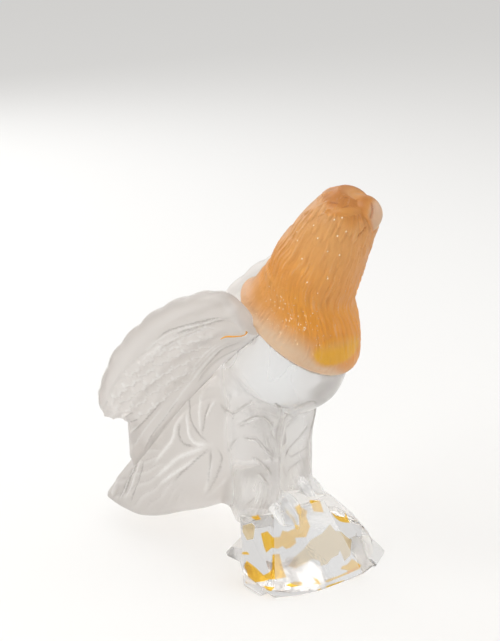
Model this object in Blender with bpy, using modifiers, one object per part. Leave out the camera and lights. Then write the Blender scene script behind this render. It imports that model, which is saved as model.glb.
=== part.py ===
"""A perched eagle cast in clear crystal on a crystal rock, with an amber crystal neck and head.

Metres, +Z up. The eagle faces -Y. The origin is the middle of the rock's flat underside.
"""
import math

import bmesh
import bpy
import numpy as np
from mathutils import Vector

# Driving sizes
FIGURE_HEIGHT = 0.250  # standing place of the feet to the crown
ROCK_HEIGHT = 0.048    # flat underside to the standing place of the feet
ROCK_LENGTH = 0.114    # along Y
ROCK_WIDTH = 0.131     # along X
SHELF_HEIGHT = 0.011   # rough shelf around the foot of the rock

JOINT_GAP = 0.0003        # clear space between the two castings at the neck
NECK_CARVING = 0.0014     # depth of the neck feathers
FEATHER_CARVING = 0.0018  # depth of the wing, tail and leg feathers
EDGE_ROUNDING = 0.0012    # polished edges of the rock

# The figure's own measures are shares of its height, counted from the top of the rock
SHARE = FIGURE_HEIGHT / 250

# The forms are fused on a grid of this many shares and thinned to about this many triangles
GRID = 1.6
BODY_FACES = 6600
NECK_FACES = 2300

# Body from the tail root to the joint: y, z, half width, half depth, lean in degrees
TRUNK = (
    (92, 34, 20, 14, 52), (74, 52, 28, 22, 50), (52, 72, 33, 30, 46), (33, 92, 36.5, 36, 42),
    (15, 113, 39, 44.5, 37), (6.5, 132, 40, 45.5, 34.5), (5.5, 141, 39, 45.5, 34.5),
)

# Neck from the joint to the crown, in the same terms
NECK = (
    (7.5, 138, 40, 46, 34.5), (5.5, 141, 43.5, 50.5, 34.5), (-0.5, 146, 42.5, 47.5, 33.8),
    (-4.6, 162, 37.2, 41.2, 31), (-5.4, 176, 35.8, 33.5, 28), (-10.4, 190, 32.5, 32.2, 25),
    (-17.6, 204, 30.5, 29.5, 23), (-25, 218, 28, 26.5, 22), (-32.5, 230, 25, 23, 22),
    (-35.5, 239.5, 20.5, 18, 22), (-37, 246.5, 11.5, 10, 22),
)
NECK_FEATHERS = 22      # around the neck
NECK_FEATHER_ROWS = 5   # along it
NECK_TWIST = 0.1        # share of a turn that the rows wind along the neck

# Beak: y, z, half width, half depth
BEAK = (
    (-40, 235, 12, 11), (-48, 236, 10.5, 9.5), (-53, 232, 8.5, 8), (-54, 226.5, 5, 5), (-51.5, 221, 2, 2.5),
)

# Brow over one eye, back to front: x, y, z, radius
BROW = ((19, -24, 233, 3), (19.5, -33, 235, 4.2), (16, -42, 236, 4.2), (9, -47, 236, 3))

# Leg from the flank to the rock: x, y, z, half width, half depth
LEG = (
    (9, 24, 112, 9, 12), (17, 26, 92, 17, 23), (23, 28.5, 66, 19, 24.5), (23.5, 28, 42, 17.5, 20.5),
    (24, 27.5, 24, 16, 20), (23.5, 29, 7, 15.5, 22), (23, 27.5, -13, 12.5, 17),
)
FIRST_LOCK = 0.185   # where the first arched lock ends, in shares of the leg
LOCK_LENGTH = 0.093  # in the same shares
ARCH_TOP = 0.045     # where the arches are highest, in shares of a turn from the outer side towards the front
ARCH_ROUND = 0.25    # how round that highest place is
ARCH_SLOPE = 1.7     # how steeply the arches' sides run down, in shares of the leg for a turn

# Toes of one foot, from the ankle to the claw: x, y, z, radius
TOES = (
    ((20, 20, 7, 6), (15, 12, 7, 5), (12, 4, 4, 4.2), (11, -2, -2, 3.2), (11, -4, -9, 1.2)),
    ((23, 18, 7.5, 6), (22, 10, 7, 5.3), (21, 1, 3, 4.3), (21, -5.5, -4, 3.3), (21, -8.5, -13, 1.2)),
    ((25, 20, 7, 5.5), (26.5, 13, 5, 4.5), (27.5, 7, 1, 3.8), (28.5, 2, -5, 3), (28.5, 0, -12, 1.2)),
)

# Edges of the wing from the shoulder to the tips: x, y, z
WING_RIM = (
    (48, 16, 155), (56, 21, 169), (63, 31, 179), (68, 49, 177), (70, 77, 163), (70, 101, 143),
    (69, 122, 119), (67, 135, 93), (65, 142, 77),
)
WING_HEM = (
    (41, 13, 145), (37, 26, 134), (34, 42, 120), (32, 60, 102), (31, 78, 80), (30, 94, 58),
    (31, 110, 36), (32, 124, 18), (33, 136, 5),
)
WING_BOW = 7.0          # bulge of the blade between hem and rim
SHOULDER_THICKNESS = 8.5
TIP_THICKNESS = 5.5
RIM_BAND = 0.71         # where the smooth rim starts, as a share of the way from hem to rim
COVERTS = 0.26          # where the short feathers start, in the same way
COVERT_ROWS = 5
COVERTS_IN_ROW = 7
LONG_FEATHERS = 3       # below the short ones
BACK_FEATHERS = 6       # on the side that faces the back
TIP_START = 0.7         # share of the wing's length where its tips begin to part
TIP_BAY = (0.17, 0.40, 0.25)  # depth of the bay between the upper and lower tips, its place and its width

# Rump and tail: y, top, bottom, half width
TAIL = (
    (22, 94, 24, 30), (42, 106, 6, 39), (62, 105, -5, 43.5), (84, 87, -14, 44), (106, 61, -24, 42),
    (126, 35, -30, 39), (142, 13, -31, 35), (154, -4, -30, 32), (164, -18, -27, 30),
)
# Half of its section, a roof over a hollow: share of the half width, share of the way from bottom to top
TAIL_PROFILE = (
    (0, 1.0), (0.55, 0.95), (0.90, 0.72), (1.0, 0.35), (0.96, 0.03), (0.72, 0.02), (0.36, 0.20), (0, 0.27),
)
OUTER_SIDE = 0.55    # share of the section's way round that shows feathers
FOLD_ROOT = (56, 50)  # where the rump's folds meet: y, z
FOLD_ANGLE = 0.20     # between two folds
FOLD_START = 40       # distance from the root at which they are full height
TAIL_FEATHERS = 14    # around the section

# Corners of the polished rock: 128ths of its width, 112ths of its length, 48ths of its height
ROCK_CORNERS = (
    (-66, -16, 1), (-52, -28, 0), (-38.5, -37.5, 0), (-17, -46.5, 0), (0.5, -52.5, 0), (20, -54, 1),
    (40, -38, 0), (55, -18, 0), (60, 6, 0), (49, 38, 0), (16, 54, 0), (-22, 38, 0), (-41, 27, 0), (-53, 16, 0),
    (-62, -12, 14), (40, -39, 8), (35, -37, 18), (28, -27, 34), (53, 5, 19), (27, 48, 22), (-22, 36, 22),
    (-37, 30, 20), (-48, 17, 22),
    (-31, 8, 47.5), (-5, 14, 49), (11, -10, 48.5), (23, -11, 47), (30, 6, 48), (32, 36, 42), (6, 44, 43),
    (-29, 35, 43), (-38, 31, 43),
)
# Corners of the rough shelf, in the same parts, with the height in shares of the shelf's own
SHELF_CORNERS = (
    (-67, -5, 0.3), (-61, 13, 0.25), (-45, 25, 0.7), (-31.5, 36.5, 1.0), (-28, 50, 0.7), (-10, 50, 1.0),
    (12, 56, 0.9), (45, 46, 0.8), (62, 18, 1.0), (56, -16, 0.8), (46, -35, 0.85), (37, -51, 0.8),
    (17, -55, 0.5), (4, -30, 1.0),
)

# Colour and roughness
FINISHES = {
    "crystal": ((0.93, 0.93, 0.92), 0.12),
    "amber crystal": ((0.78, 0.40, 0.14), 0.35),
}
CRYSTAL_IOR = 1.52


def place(x, y, z):
    """A point of the figure, from shares to metres."""
    return np.array((x * SHARE, y * SHARE, ROCK_HEIGHT + z * SHARE))


def leaning(degrees):
    """The direction that leans this far from upright towards the chest."""
    angle = math.radians(degrees)
    return np.array((0.0, -math.sin(angle), math.cos(angle)))


def unit(vector):
    return vector / np.linalg.norm(vector)


def hump(share):
    """Rises from 0 to 1 at the middle of every whole step, and falls back to 0."""
    return 1 - (2 * (share % 1.0) - 1) ** 2


def spread(stations, count):
    """Rows on a smooth curve through the stations, one station's stretch as long as the next."""
    rows = np.array(stations, float)
    ends = np.vstack([2 * rows[0] - rows[1], rows, 2 * rows[-1] - rows[-2]])
    found = []
    for step in range(count):
        along = step / (count - 1) * (len(rows) - 1)
        i = min(int(along), len(rows) - 2)
        f = along - i
        a, b, c, d = ends[i:i + 4]
        found.append(0.5 * (2 * b + (c - a) * f + (2 * a - 5 * b + 4 * c - d) * f ** 2
                            + (3 * b - a - 3 * c + d) * f ** 3))
    return np.array(found)


def along_rows(rows, share):
    """The place this far along the rows, from 0 to 1."""
    spot = share * (len(rows) - 1)
    i = min(int(spot), len(rows) - 2)
    return rows[i] * (1 - spot + i) + rows[i + 1] * (spot - i)


def skin(rings):
    """A closed mesh over rings of points, with both ends capped."""
    rings = [np.asarray(ring) for ring in rings]
    sides = len(rings[0])
    faces = []
    for i in range(len(rings) - 1):
        for k in range(sides):
            n = (k + 1) % sides
            faces.append((i * sides + k, i * sides + n, (i + 1) * sides + n, (i + 1) * sides + k))
    last = (len(rings) - 1) * sides
    faces.append(tuple(reversed(range(sides))))
    faces.append(tuple(range(last, last + sides)))
    mesh = bpy.data.meshes.new("form")
    mesh.from_pydata([tuple(p) for ring in rings for p in ring], [], faces)
    bm = bmesh.new()
    bm.from_mesh(mesh)
    bmesh.ops.recalc_face_normals(bm, faces=bm.faces)
    bm.to_mesh(mesh)
    bm.free()
    return mesh


def mirrored(mesh):
    """The same form on the other side of the figure."""
    bm = bmesh.new()
    bm.from_mesh(mesh)
    for vert in bm.verts:
        vert.co.x = -vert.co.x
    bmesh.ops.reverse_faces(bm, faces=bm.faces)
    other = bpy.data.meshes.new(mesh.name)
    bm.to_mesh(other)
    bm.free()
    return other


def tube(stations, rings, sides, relief=None):
    """Ovals along a path. A station is x, y, z, half width and half depth in shares.

    A sixth value leans the oval towards the chest; without it the oval stands square to the path.
    """
    rows = spread(stations, rings)
    centres = np.array([place(*row[:3]) for row in rows])
    tangents = np.gradient(centres, axis=0)
    across = np.array((1.0, 0.0, 0.0))
    found = []
    for i, row in enumerate(rows):
        tangent = unit(tangents[i]) if len(row) < 6 else leaning(row[5])
        across = unit(across - tangent * (across @ tangent))
        deep = np.cross(tangent, across)
        ring = []
        for k in range(sides):
            angle = 2 * math.pi * k / sides
            rise = relief(i / (rings - 1), k / sides) if relief else 0.0
            wide = row[3] * SHARE + rise
            far = row[4] * SHARE + rise
            ring.append(centres[i] + across * wide * math.cos(angle) + deep * far * math.sin(angle))
        found.append(ring)
    return skin(found)


def feather_rows(along, across, rows, in_row):
    """Overlapping feathers from 0 to 1 high in staggered rows, each highest just before its tip."""
    row = math.floor(across * rows)
    length = (along * in_row + 0.5 * (row % 2)) % 1.0
    return hump(across * rows) * length ** 0.8 * min(1.0, (1 - length) * 9)


def neck_relief(along, around):
    return NECK_CARVING * feather_rows(1 - along, (around + NECK_TWIST * along) % 1.0,
                                       NECK_FEATHERS, NECK_FEATHER_ROWS)


def leg_relief(along, around):
    """Arched locks of the thigh, one over another, flat at both ends of the leg."""
    turn = (around - ARCH_TOP + 0.5) % 1.0 - 0.5
    drop = math.hypot(ARCH_ROUND, ARCH_SLOPE * turn) - ARCH_ROUND
    lock = (along - FIRST_LOCK - drop) / LOCK_LENGTH
    ends = min(1.0, max(0.0, along * 10 - 1)) * min(1.0, (1 - along) * 5)
    return FEATHER_CARVING * (1 - lock % 1.0) ** 0.7 * ends


def wing_relief(along, across):
    """Smooth rim, rows of short feathers below it, long feathers along the hem."""
    if across > RIM_BAND:
        return FEATHER_CARVING
    if across > COVERTS:
        rows_share = (across - COVERTS) / (RIM_BAND - COVERTS)
        return FEATHER_CARVING * feather_rows(along, rows_share, COVERT_ROWS, COVERTS_IN_ROW)
    return FEATHER_CARVING * hump(across / COVERTS * LONG_FEATHERS) * min(1.0, along * 3)


def wing_back_relief(along, across):
    """Long feathers on the side that faces the back."""
    return FEATHER_CARVING * hump(across * BACK_FEATHERS) * min(1.0, along * 3)


def wing_reach(along, across):
    """How far out this spot of the blade lies; a bay parts the upper tips from the lower ones."""
    depth, middle, width = TIP_BAY
    past = max(0.0, along - TIP_START) / (1 - TIP_START)
    return along * (1 - depth * math.exp(-((across - middle) / width) ** 2) * past)


def wing_thickness(along, across):
    """Half of the blade's thickness in shares, thickest at its edges, which are round."""
    thick = SHOULDER_THICKNESS + (TIP_THICKNESS - SHOULDER_THICKNESS) * along
    edge = (1 - abs(2 * across - 1) ** 4) ** 0.5
    ends = min(1.0, (1 - along) * 8 + 0.35) * min(1.0, along * 10 + 0.5)
    return thick * edge * ends * (1.35 - 0.5 * math.sin(math.pi * across))


def wing(columns, rows):
    """One wing, a thick curved blade between its hem and its rim."""
    rim = spread(WING_RIM, columns)
    hem = spread(WING_HEM, columns)
    up = [(k + 0.5) / rows for k in range(rows)]
    found = []
    for i in range(columns):
        along = i / (columns - 1)
        flat_tip = min(1.0, (1 - along) * 10)
        ring = []
        for side, across in [(1, w) for w in up] + [(-1, w) for w in reversed(up)]:
            reach = wing_reach(along, across)
            point = along_rows(hem, reach) * (1 - across) + along_rows(rim, reach) * across
            lift = WING_BOW * math.sin(math.pi * across)
            if side > 0:
                lift += wing_thickness(along, across)
                carving = wing_relief(along, across)
            else:
                lift -= wing_thickness(along, across) * (1.9 - 0.9 * across)
                carving = -wing_back_relief(along, across)
            spot = place(point[0] + lift, point[1], point[2])
            spot[0] += carving * flat_tip * (1 - abs(2 * across - 1) ** 4) ** 0.5
            ring.append(spot)
        found.append(ring)
    return skin(found)


def tail_relief(y, z, around):
    """Folds that fan out from the rump on the sides, long feathers on the back."""
    away_y = y - FOLD_ROOT[0]
    away_z = z - FOLD_ROOT[1]
    reach = min(1.0, math.hypot(away_y, away_z) / FOLD_START)
    side = min(1.0, max(0.0, around * 4 - 0.9))
    folds = side * hump(math.atan2(away_z, away_y) / FOLD_ANGLE)
    feathers = (1 - side) * hump(around * TAIL_FEATHERS)
    return FEATHER_CARVING * reach * (folds + feathers)


def tail(columns, sides):
    """Rump and tail, a roof over a hollow underside."""
    profile = spread(TAIL_PROFILE, sides)
    slopes = np.gradient(profile, axis=0)
    found = []
    for y, top, bottom, half in spread(TAIL, columns):
        right = []
        for k in range(sides):
            z = bottom + (top - bottom) * profile[k][1]
            spot = place(half * profile[k][0], y, z)
            around = k / (sides - 1)
            if around < OUTER_SIDE:
                outward = unit(np.array((-slopes[k][1] * (top - bottom), 0.0, slopes[k][0] * half)))
                spot += outward * tail_relief(y, z, around) * min(1.0, (OUTER_SIDE - around) * 12)
            right.append(spot)
        left = [spot * np.array((-1, 1, 1)) for spot in reversed(right[1:-1])]
        found.append(right + left)
    return skin(found)


def rock_place(x, y, z):
    return (x * ROCK_WIDTH / 128, y * ROCK_LENGTH / 112, z * ROCK_HEIGHT / 48)


def polished_rock():
    """The smooth block of the rock, a few large faces around its corners."""
    bm = bmesh.new()
    for corner in ROCK_CORNERS:
        bm.verts.new(rock_place(*corner))
    bmesh.ops.convex_hull(bm, input=bm.verts)
    bmesh.ops.dissolve_limit(bm, angle_limit=math.radians(4), verts=bm.verts, edges=bm.edges)
    bmesh.ops.recalc_face_normals(bm, faces=bm.faces)
    mesh = bpy.data.meshes.new("lump")
    bm.to_mesh(mesh)
    bm.free()
    return mesh


def shelf():
    """The rough shelf around the rock's foot, with an uneven broken edge."""
    rings = []
    for grow, up in ((0.985, 0.0), (1.0, 0.35), (0.93, 1.0)):
        ring = []
        for x, y, share in SHELF_CORNERS:
            spot = rock_place(x * grow, y * grow, 0)
            ring.append((spot[0], spot[1], share * SHELF_HEIGHT * up))
        rings.append(ring)
    return skin(rings)


def joined(meshes):
    """Several forms in one mesh, still overlapping."""
    bm = bmesh.new()
    for mesh in meshes:
        bm.from_mesh(mesh)
        bpy.data.meshes.remove(mesh)
    whole = bpy.data.meshes.new("forms")
    bm.to_mesh(whole)
    bm.free()
    return whole


def add_object(name, mesh, collection):
    mesh.name = name
    thing = bpy.data.objects.new(name, mesh)
    collection.objects.link(thing)
    return thing


def fuse(thing, faces):
    """Fuses the overlapping forms into one skin and thins it to about this many triangles."""
    remesh = thing.modifiers.new("fuse", "REMESH")
    remesh.mode = "VOXEL"
    remesh.voxel_size = GRID * SHARE
    soften = thing.modifiers.new("soften", "SMOOTH")
    soften.factor = 0.5
    soften.iterations = 1
    depsgraph = bpy.context.evaluated_depsgraph_get()
    full = len(thing.evaluated_get(depsgraph).data.polygons) * 2
    thin = thing.modifiers.new("thin", "DECIMATE")
    thin.ratio = min(1.0, faces / full)
    thin.use_collapse_triangulate = True


def cut(thing, cutter, operation):
    change = thing.modifiers.new(operation.lower(), "BOOLEAN")
    change.operation = operation
    change.object = cutter


def finish(name):
    colour, roughness = FINISHES[name]
    material = bpy.data.materials.new(name)
    material.use_nodes = True
    shader = material.node_tree.nodes["Principled BSDF"]
    shader.inputs["Base Color"].default_value = (*colour, 1.0)
    shader.inputs["Roughness"].default_value = roughness
    shader.inputs["Metallic"].default_value = 0.0
    shader.inputs["Transmission Weight"].default_value = 1.0
    shader.inputs["IOR"].default_value = CRYSTAL_IOR
    return material


def neck_stations(grow=0.0):
    return [(0, y, z, wide + grow / SHARE, deep + grow / SHARE, lean) for y, z, wide, deep, lean in NECK]


def round_stations(stations):
    """Stations of a round form, whose half depth is its half width."""
    return [(*row, row[3]) for row in stations]


def clear_body(parts, tools):
    """Body, wings, tail and legs in one casting with the rock, cut flat where the neck is set on."""
    trunk = tube([(0, *row) for row in TRUNK], 30, 40)
    pairs = [tube(LEG, 36, 36, leg_relief), wing(64, 26)]
    pairs += [tube(round_stations(toe), 16, 12) for toe in TOES]
    forms = [trunk, tail(44, 40)] + pairs + [mirrored(mesh) for mesh in pairs]
    body = add_object("eagle_body", joined(forms), parts)
    fuse(body, BODY_FACES)

    rock = add_object("rock", polished_rock(), tools)
    bevel = rock.modifiers.new("polished edges", "BEVEL")
    bevel.width = EDGE_ROUNDING
    bevel.segments = 2
    foot = add_object("shelf", shelf(), tools)
    seat = add_object("seat", tube(neck_stations(NECK_CARVING + 2 * JOINT_GAP), 24, 48), tools)
    seat.location = Vector(leaning(NECK[0][4])) * -JOINT_GAP
    cut(body, seat, "DIFFERENCE")
    cut(body, rock, "UNION")
    cut(body, foot, "UNION")
    body.data.materials.append(finish("crystal"))
    body.data.shade_smooth()


def amber_neck(parts):
    """Neck and head in one casting, with a low lip around the joint."""
    brow = tube(round_stations(BROW), 12, 12)
    forms = [tube(neck_stations(), 60, 66, neck_relief), tube([(0, *row) for row in BEAK], 14, 16),
             brow, mirrored(brow)]
    neck = add_object("eagle_neck", joined(forms), parts)
    fuse(neck, NECK_FACES)
    neck.data.materials.append(finish("amber crystal"))
    neck.data.shade_smooth()


def build():
    for thing in list(bpy.data.objects):
        bpy.data.objects.remove(thing, do_unlink=True)
    parts = bpy.data.collections.new("crystal_eagle")
    tools = bpy.data.collections.new("cutters")
    for collection in (parts, tools):
        bpy.context.scene.collection.children.link(collection)
    clear_body(parts, tools)
    amber_neck(parts)
    for cutter in tools.objects:
        cutter.hide_render = True
        cutter.display_type = "WIRE"


build()
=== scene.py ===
import math
import bmesh
import bpy
import numpy as np
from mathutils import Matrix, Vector, bvhtree, kdtree


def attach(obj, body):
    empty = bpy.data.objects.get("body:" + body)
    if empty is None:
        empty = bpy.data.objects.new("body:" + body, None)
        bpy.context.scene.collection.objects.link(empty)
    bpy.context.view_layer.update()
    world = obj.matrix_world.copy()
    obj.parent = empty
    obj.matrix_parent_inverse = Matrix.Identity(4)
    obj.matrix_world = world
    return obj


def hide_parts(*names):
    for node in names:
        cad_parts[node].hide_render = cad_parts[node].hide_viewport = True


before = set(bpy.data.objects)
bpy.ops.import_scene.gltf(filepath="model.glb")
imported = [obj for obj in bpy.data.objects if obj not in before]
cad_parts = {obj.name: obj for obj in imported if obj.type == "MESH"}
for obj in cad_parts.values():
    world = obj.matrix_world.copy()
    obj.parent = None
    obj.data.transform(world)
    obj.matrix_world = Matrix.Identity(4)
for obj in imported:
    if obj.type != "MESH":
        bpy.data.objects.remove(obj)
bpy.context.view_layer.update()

# The eagle's own measures are in millimetres, z counted from the top of the rock where the feet stand.
# Spots on a form are in thousandths of its length and of the way across or round it.
mm = 0.001
feetHeight = 48


def ownPlace(points):  # from the eagle's own measures to metres above the floor
    return (np.asarray(points) + (0, 0, feetHeight)) * mm


def thousandths(spots, stretch=1.0):
    return [(a / 1000, b / 1000 * stretch) for a, b in spots]


# Camera, lights and floor

studio = {
    "aim": (-0.021, 0.034, 0.193),
    "azimuth": -58,      # degrees round from the front, towards the eagle's right side
    "elevation": 19,
    "distance": 1.105,
    "lens": 85,
    "sensor": 36,
    "floorSize": 8.0,
    "floorDrop": 0.0004,  # thin air gap under the rock
    "floorColour": (0.86, 0.858, 0.852),
    "skyColour": (1.0, 0.99, 0.975),
    "skyStrength": 0.72,
    "lamps": (           # place, aim height, size, power, colour
        ((-1.1, 0.6, 1.5), 0.12, 1.8, 17.0, (1.0, 0.99, 0.97)),
        ((0.9, -1.3, 0.9), 0.12, 1.3, 5.0, (1.0, 1.0, 1.0)),
        ((0.6, 1.4, 1.0), 0.12, 1.5, 7.0, (0.98, 0.99, 1.0)),
    ),
}


def linked(name, data):  # a new object in the scene
    thing = bpy.data.objects.new(name, data)
    bpy.context.scene.collection.objects.link(thing)
    return thing


def facing(place, target):
    return (Vector(target) - Vector(place)).to_track_quat("-Z", "Y").to_euler()


def buildCamera():
    azimuth = math.radians(studio["azimuth"])
    elevation = math.radians(studio["elevation"])
    back = Vector((math.sin(azimuth) * math.cos(elevation), -math.cos(azimuth) * math.cos(elevation),
                   math.sin(elevation)))
    data = bpy.data.cameras.new("camera")
    data.lens = studio["lens"]
    data.sensor_width = studio["sensor"]
    data.clip_start = 0.01
    data.clip_end = 50
    camera = linked("camera", data)
    camera.location = Vector(studio["aim"]) + back * studio["distance"]
    camera.rotation_euler = facing(camera.location, studio["aim"])
    bpy.context.scene.camera = camera


def buildLamps():
    for number, (place, aimHeight, size, power, colour) in enumerate(studio["lamps"]):
        data = bpy.data.lights.new("softbox%d" % number, "AREA")
        data.shape = "DISK"
        data.size = size
        data.energy = power
        data.color = colour
        lamp = linked(data.name, data)
        lamp.location = place
        lamp.rotation_euler = facing(place, (0, 0.04, aimHeight))
        lamp.visible_transmission = number == 0   # the side lamps aren't seen through the crystal


def buildWorld():
    world = bpy.data.worlds.new("studio")
    bpy.context.scene.world = world
    world.use_nodes = True
    sky = world.node_tree.nodes["Background"]
    sky.inputs["Color"].default_value = (*studio["skyColour"], 1)
    sky.inputs["Strength"].default_value = studio["skyStrength"]


def buildFloor():
    mesh = bpy.data.meshes.new("floor")
    half = studio["floorSize"] / 2
    corners = [(x * half, y * half, -studio["floorDrop"]) for x, y in ((-1, -1), (1, -1), (1, 1), (-1, 1))]
    mesh.from_pydata(corners, [], [(0, 1, 2, 3)])
    material, _, shader = newFinish("paleFloor", studio["floorColour"], 0.9, 0.0, 1.5)
    shader.inputs["Specular IOR Level"].default_value = 0.0
    mesh.materials.append(material)
    linked("floor", mesh)


# Curves and forms. A form is a grid of points, rings by sides. Each point has a carving height in mm and
# shares of frost, painted shade, painted shade line, painted highlight and tint.

def evenly(count):  # from 0 to 1
    return np.linspace(0, 1, count)


def held(value):  # kept between 0 and 1
    return np.clip(value, 0, 1)


def curveAt(stations, where):  # smooth curve through the stations, where runs from 0 to 1
    rows = np.array(stations, float)
    ends = np.vstack([2 * rows[0] - rows[1], rows, 2 * rows[-1] - rows[-2]])
    along = held(where) * (len(rows) - 1)
    i = np.minimum(along.astype(int), len(rows) - 2)
    f = (along - i)[..., None]
    a, b, c, d = ends[i], ends[i + 1], ends[i + 2], ends[i + 3]
    return 0.5 * (2 * b + (c - a) * f + (2 * a - 5 * b + 4 * c - d) * f ** 2
                  + (3 * b - a - 3 * c + d) * f ** 3)


def hump(share):  # rises to 1 at the middle of every whole step
    return 1 - (2 * (share % 1.0) - 1) ** 2


def softStep(low, high, value):
    t = held((value - low) / (high - low))
    return t * t * (3 - 2 * t)


def dent(value, middle, width):  # 1 at the middle, fading to both sides
    return np.exp(-((value - middle) / width) ** 2)


def ovalGrid(stations, rings, sides):  # station: x, y, z, half width, half depth and, where given, its lean
    rows = curveAt(stations, evenly(rings))
    centres = rows[:, :3]
    if rows.shape[1] > 5:
        lean = np.radians(rows[:, 5])
        tangents = np.stack([np.zeros(rings), -np.sin(lean), np.cos(lean)], 1)
    else:
        tangents = np.gradient(centres, axis=0)
        tangents /= np.linalg.norm(tangents, axis=1)[:, None]
    across = np.zeros((rings, 3))
    last = np.array((1.0, 0.0, 0.0))
    for i in range(rings):
        last = last - tangents[i] * (last @ tangents[i])
        last /= np.linalg.norm(last)
        across[i] = last
    deep = np.cross(tangents, across)
    turn = 2 * math.pi * np.arange(sides) / sides
    wide = (rows[:, 3, None] * np.cos(turn))[..., None]
    far = (rows[:, 4, None] * np.sin(turn))[..., None]
    return centres[:, None] + across[:, None] * wide + deep[:, None] * far


def gridShares(grid):  # along and around, from 0 to 1, for every point of a grid
    rings, sides = grid.shape[:2]
    return np.meshgrid(evenly(rings), np.arange(sides) / sides, indexing="ij")


def makeForm(grid, **shares):
    form = {"height": 0.0, "frost": 0.0, "shade": 0.0, "line": 0.0, "light": 0.0}
    form.update(shares)
    return {"grid": grid, **{key: np.broadcast_to(value, grid.shape[:2]) for key, value in form.items()}}


def otherSide(form):
    return {key: (value * np.array((-1, 1, 1)) if key == "grid" else value) for key, value in form.items()}


def combed(along, around, rows, columns, seed):  # soft random streaks from 0 to 1 that run along the form
    values = np.random.default_rng(seed).random((rows + 2, columns))
    a = held(along) * rows
    b = (around % 1.0) * columns
    i, k = a.astype(int), b.astype(int)
    f, g = a - i, b - k
    f, g = f * f * (3 - 2 * f), g * g * (3 - 2 * g)
    k, n = k % columns, (k + 1) % columns
    low = values[i, k] * (1 - g) + values[i, n] * g
    high = values[i + 1, k] * (1 - g) + values[i + 1, n] * g
    return low * (1 - f) + high * f


def leafHeights(along, across, rows, inRow, wide):  # pointed locks in staggered rows, lapping each other
    best = np.zeros(np.broadcast(along, across).shape)
    for neighbour in (-1, 0, 1):
        row = np.floor(across * rows) + neighbour
        length = (along * inRow + 0.5 * (row % 2) + 0.13 * np.sin(row * 2.4)) % 1.0
        side = (across * rows - row - 0.5) * 2 / wide
        outline = (1 - length ** 3) ** 0.7 * (0.45 + 0.55 * np.minimum(1, length * 2.5))
        body = held(1 - (side / np.maximum(outline, 0.01)) ** 2)
        best = np.maximum(best, body ** 0.6 * (0.25 + 0.75 * length ** 0.8))
    return best


def pathOn(grid, spots, steps=10):  # a smooth path over a form through spots, along and around from 0 to 1
    rings, sides = grid.shape[:2]
    found = curveAt(spots, evenly(steps * (len(spots) - 1) + 1))
    a = held(found[:, 0]) * (rings - 1)
    b = found[:, 1] % 1.0 * sides
    i = np.minimum(a.astype(int), rings - 2)
    k = b.astype(int)
    f, g = (a - i)[:, None], (b - k)[:, None]
    k, n = k % sides, (k + 1) % sides
    return ((grid[i, k] * (1 - f) + grid[i + 1, k] * f) * (1 - g)
            + (grid[i, n] * (1 - f) + grid[i + 1, n] * f) * g)


def nearPath(grid, path):  # how far the form's points are from a path, how far along it, and its length
    flat = grid.reshape(-1, 3)
    lengths = np.concatenate([[0], np.cumsum(np.linalg.norm(np.diff(path, axis=0), axis=1))])
    away = np.full(len(flat), 1e9)
    run = np.zeros(len(flat))
    for start, end, low, high in zip(path[:-1], path[1:], lengths[:-1], lengths[1:]):
        step = end - start
        share = held((flat - start) @ step / max(step @ step, 1e-9))
        gap = np.linalg.norm(flat - start - share[:, None] * step, axis=1)
        closer = gap < away
        away[closer] = gap[closer]
        run[closer] = (low + share * (high - low))[closer]
    return away.reshape(grid.shape[:2]), run.reshape(grid.shape[:2]), lengths[-1]


def blankShares(shape):  # height, painted shade line and painted highlight
    return [np.zeros(shape) for _ in range(3)]


def addStroke(shares, rise, width, found, where=slice(None), ends=(0.18, 0.15), narrow=0.5, most=1):
    height, line, light = shares
    away, run, length = found
    taper = np.clip(np.minimum(run, length - run) / (ends[0] * length), ends[1], 1)
    height[where] += rise * held(1 - (away / width) ** 2) ** 1.5 * taper
    share = line if rise < 0 else light   # grooves get painted shade, ridges painted highlights
    share[where] = np.maximum(share[where], np.exp(-(away / (narrow * width)) ** 2) * taper * most)


def carve(grid, strokes, stretch=1.0):
    shares = blankShares(grid.shape[:2])
    for rise, width, spots in strokes:
        addStroke(shares, rise, width, nearPath(grid, pathOn(grid, thousandths(spots, stretch))))
    return shares


# Pieces' forms

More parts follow.
